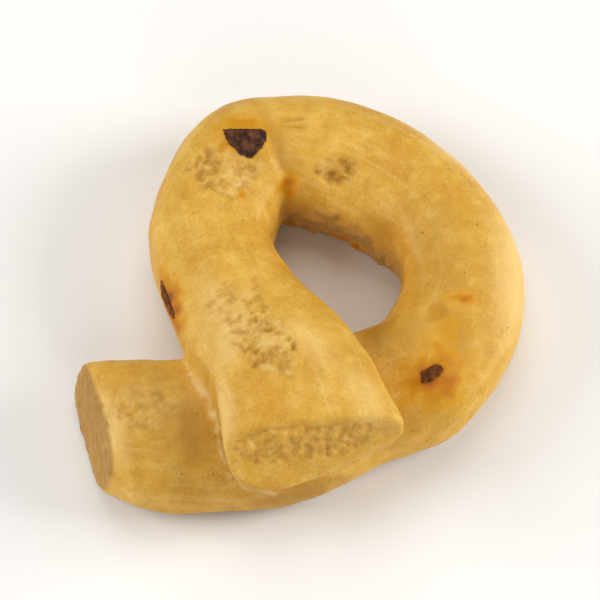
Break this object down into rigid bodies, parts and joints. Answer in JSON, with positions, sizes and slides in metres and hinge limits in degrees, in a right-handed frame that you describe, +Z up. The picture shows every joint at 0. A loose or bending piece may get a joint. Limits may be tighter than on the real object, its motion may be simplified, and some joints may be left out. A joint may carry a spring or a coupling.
{
  "type": "tarallo biscuit",
  "caption": "Baked dough ring, looped from a hand-rolled rope whose cut ends cross on one side; it lies flat on its base.",
  "frame": {"origin": "centre of the bounding box, on the surface the base lies on", "axes": "+Z up out of the baked base; -Y towards the crossed cut ends; the lower cut end points to -X"},
  "size_m": [0.0572, 0.0576, 0.0194],
  "materials": {
    "baked_dough": "golden baked dough, dry and matte, with broken bubbles, a grainy cut face and a few charred bits"
  },
  "bodies": {
    "root": {"tarallo": "baked_dough"}
  },
  "joints": []
}
